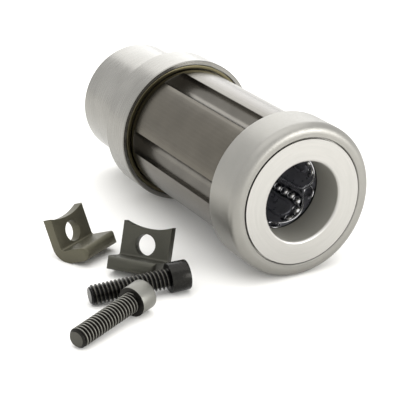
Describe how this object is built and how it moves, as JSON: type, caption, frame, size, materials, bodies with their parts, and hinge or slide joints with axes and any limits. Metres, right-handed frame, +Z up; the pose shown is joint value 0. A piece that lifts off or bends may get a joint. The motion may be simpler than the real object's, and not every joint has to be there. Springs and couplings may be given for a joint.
{
  "type": "linear ball bushing",
  "caption": "Round linear ball bushing with pilot, flange, fluted dark body, rounded front cap and open shaft bore, laid beside its toe clamps and socket head screws.",
  "frame": {"origin": "centre of the flange's rear seating face, on the bushing's axis", "axes": "+X along the shaft axis from the pilot towards the front cap, +Z up, with the bushing lying on its flange and cap and the loose clamps and screws on the -Y side"},
  "size_m": [0.1275, 0.1088, 0.0508],
  "materials": {
    "ground_steel": "fine turned satin",
    "dark_steel": "dark polished, hardened",
    "spring_steel": "dark spring steel",
    "satin_steel": "fine blasted satin",
    "satin_disc": "satin faced",
    "black_polymer": "semi-gloss black",
    "ball_steel": "polished",
    "phosphate_steel": "matte phosphate",
    "black_oxide_grey": "worn black oxide",
    "black_oxide": "oiled black oxide"
  },
  "bodies": {
    "bearing": {"mounting_sleeve": "ground_steel", "bearing_body": "dark_steel", "flange_retaining_ring": "spring_steel", "front_cap": "satin_steel", "front_bush": "satin_disc", "front_end_ring": "spring_steel", "ball_retainer": "black_polymer", "rear_end_ring": "spring_steel", "rear_bush": "satin_disc", "rear_snap_ring": "spring_steel"},
    "loaded_row_1": {"loaded_row_1": "ball_steel"},
    "return_row_1": {"return_row_1": "ball_steel"},
    "front_turn_1": {"front_turn_1": "ball_steel"},
    "rear_turn_1": {"rear_turn_1": "ball_steel"},
    "loaded_row_2": {"loaded_row_2": "ball_steel"},
    "return_row_2": {"return_row_2": "ball_steel"},
    "front_turn_2": {"front_turn_2": "ball_steel"},
    "rear_turn_2": {"rear_turn_2": "ball_steel"},
    "loaded_row_3": {"loaded_row_3": "ball_steel"},
    "return_row_3": {"return_row_3": "ball_steel"},
    "front_turn_3": {"front_turn_3": "ball_steel"},
    "rear_turn_3": {"rear_turn_3": "ball_steel"},
    "loaded_row_4": {"loaded_row_4": "ball_steel"},
    "return_row_4": {"return_row_4": "ball_steel"},
    "front_turn_4": {"front_turn_4": "ball_steel"},
    "rear_turn_4": {"rear_turn_4": "ball_steel"},
    "loaded_row_5": {"loaded_row_5": "ball_steel"},
    "return_row_5": {"return_row_5": "ball_steel"},
    "front_turn_5": {"front_turn_5": "ball_steel"},
    "rear_turn_5": {"rear_turn_5": "ball_steel"},
    "clamp_left": {"clamp_left": "phosphate_steel"},
    "clamp_right": {"clamp_right": "phosphate_steel"},
    "screw_front": {"screw_front": "black_oxide_grey"},
    "screw_rear": {"screw_rear": "black_oxide"}
  },
  "joints": [
    {"name": "loaded_row_1_run", "type": "slide", "parent": "bearing", "child": "loaded_row_1", "axis": [1, 0, 0], "range_m": [-0.00205, 0.00205]},
    {"name": "return_row_1_run", "type": "slide", "parent": "bearing", "child": "return_row_1", "axis": [1, 0, 0], "range_m": [-0.00205, 0.00205]},
    {"name": "front_turn_1_run", "type": "hinge", "parent": "bearing", "child": "front_turn_1", "pos_m": [0.0652, 0.00777, -0.01243], "axis": [0, 0.6697, -0.7427], "range_deg": [-22.6, 22.6]},
    {"name": "rear_turn_1_run", "type": "hinge", "parent": "bearing", "child": "rear_turn_1", "pos_m": [-0.0127, 0.00777, -0.01243], "axis": [0, 0.6697, -0.7427], "range_deg": [-22.6, 22.6]},
    {"name": "loaded_row_2_run", "type": "slide", "parent": "bearing", "child": "loaded_row_2", "axis": [1, 0, 0], "range_m": [-0.00205, 0.00205]},
    {"name": "return_row_2_run", "type": "slide", "parent": "bearing", "child": "return_row_2", "axis": [1, 0, 0], "range_m": [-0.00205, 0.00205]},
    {"name": "front_turn_2_run", "type": "hinge", "parent": "bearing", "child": "front_turn_2", "pos_m": [0.0652, 0.01423, 0.00355], "axis": [0, 0.9132, 0.4074], "range_deg": [-22.6, 22.6]},
    {"name": "rear_turn_2_run", "type": "hinge", "parent": "bearing", "child": "rear_turn_2", "pos_m": [-0.0127, 0.01423, 0.00355], "axis": [0, 0.9132, 0.4074], "range_deg": [-22.6, 22.6]},
    {"name": "loaded_row_3_run", "type": "slide", "parent": "bearing", "child": "loaded_row_3", "axis": [1, 0, 0], "range_m": [-0.00205, 0.00205]},
    {"name": "return_row_3_run", "type": "slide", "parent": "bearing", "child": "return_row_3", "axis": [1, 0, 0], "range_m": [-0.00205, 0.00205]},
    {"name": "front_turn_3_run", "type": "hinge", "parent": "bearing", "child": "front_turn_3", "pos_m": [0.0652, 0.00102, 0.01463], "axis": [0, -0.1053, 0.9944], "range_deg": [-22.6, 22.6]},
    {"name": "rear_turn_3_run", "type": "hinge", "parent": "bearing", "child": "rear_turn_3", "pos_m": [-0.0127, 0.00102, 0.01463], "axis": [0, -0.1053, 0.9944], "range_deg": [-22.6, 22.6]},
    {"name": "loaded_row_4_run", "type": "slide", "parent": "bearing", "child": "loaded_row_4", "axis": [1, 0, 0], "range_m": [-0.00205, 0.00205]},
    {"name": "return_row_4_run", "type": "slide", "parent": "bearing", "child": "return_row_4", "axis": [1, 0, 0], "range_m": [-0.00205, 0.00205]},
    {"name": "front_turn_4_run", "type": "hinge", "parent": "bearing", "child": "front_turn_4", "pos_m": [0.0652, -0.0136, 0.00549], "axis": [0, -0.9783, 0.2072], "range_deg": [-22.6, 22.6]},
    {"name": "rear_turn_4_run", "type": "hinge", "parent": "bearing", "child": "rear_turn_4", "pos_m": [-0.0127, -0.0136, 0.00549], "axis": [0, -0.9783, 0.2072], "range_deg": [-22.6, 22.6]},
    {"name": "loaded_row_5_run", "type": "slide", "parent": "bearing", "child": "loaded_row_5", "axis": [1, 0, 0], "range_m": [-0.00205, 0.00205]},
    {"name": "return_row_5_run", "type": "slide", "parent": "bearing", "child": "return_row_5", "axis": [1, 0, 0], "range_m": [-0.00205, 0.00205]},
    {"name": "front_turn_5_run", "type": "hinge", "parent": "bearing", "child": "front_turn_5", "pos_m": [0.0652, -0.00942, -0.01124], "axis": [0, -0.4994, -0.8664], "range_deg": [-22.6, 22.6]},
    {"name": "rear_turn_5_run", "type": "hinge", "parent": "bearing", "child": "rear_turn_5", "pos_m": [-0.0127, -0.00942, -0.01124], "axis": [0, -0.4994, -0.8664], "range_deg": [-22.6, 22.6]},
    {"name": "clamp_left_lift", "type": "slide", "parent": "bearing", "child": "clamp_left", "axis": [0, 0, 1], "range_m": [0, 0.05]},
    {"name": "clamp_right_lift", "type": "slide", "parent": "bearing", "child": "clamp_right", "axis": [0, 0, 1], "range_m": [0, 0.05]},
    {"name": "screw_front_lift", "type": "slide", "parent": "bearing", "child": "screw_front", "axis": [0, 0, 1], "range_m": [0, 0.05]},
    {"name": "screw_rear_lift", "type": "slide", "parent": "bearing", "child": "screw_rear", "axis": [0, 0, 1], "range_m": [0, 0.05]}
  ],
  "couplings": [
    {"joint": "return_row_1_run", "follows": "loaded_row_1_run", "ratio": -1},
    {"joint": "front_turn_1_run", "follows": "loaded_row_1_run", "rad_per_m": 191.57},
    {"joint": "rear_turn_1_run", "follows": "loaded_row_1_run", "rad_per_m": 191.57},
    {"joint": "loaded_row_2_run", "follows": "loaded_row_1_run", "ratio": 1},
    {"joint": "return_row_2_run", "follows": "loaded_row_1_run", "ratio": -1},
    {"joint": "front_turn_2_run", "follows": "loaded_row_1_run", "rad_per_m": 191.57},
    {"joint": "rear_turn_2_run", "follows": "loaded_row_1_run", "rad_per_m": 191.57},
    {"joint": "loaded_row_3_run", "follows": "loaded_row_1_run", "ratio": 1},
    {"joint": "return_row_3_run", "follows": "loaded_row_1_run", "ratio": -1},
    {"joint": "front_turn_3_run", "follows": "loaded_row_1_run", "rad_per_m": 191.57},
    {"joint": "rear_turn_3_run", "follows": "loaded_row_1_run", "rad_per_m": 191.57},
    {"joint": "loaded_row_4_run", "follows": "loaded_row_1_run", "ratio": 1},
    {"joint": "return_row_4_run", "follows": "loaded_row_1_run", "ratio": -1},
    {"joint": "front_turn_4_run", "follows": "loaded_row_1_run", "rad_per_m": 191.57},
    {"joint": "rear_turn_4_run", "follows": "loaded_row_1_run", "rad_per_m": 191.57},
    {"joint": "loaded_row_5_run", "follows": "loaded_row_1_run", "ratio": 1},
    {"joint": "return_row_5_run", "follows": "loaded_row_1_run", "ratio": -1},
    {"joint": "front_turn_5_run", "follows": "loaded_row_1_run", "rad_per_m": 191.57},
    {"joint": "rear_turn_5_run", "follows": "loaded_row_1_run", "rad_per_m": 191.57}
  ]
}
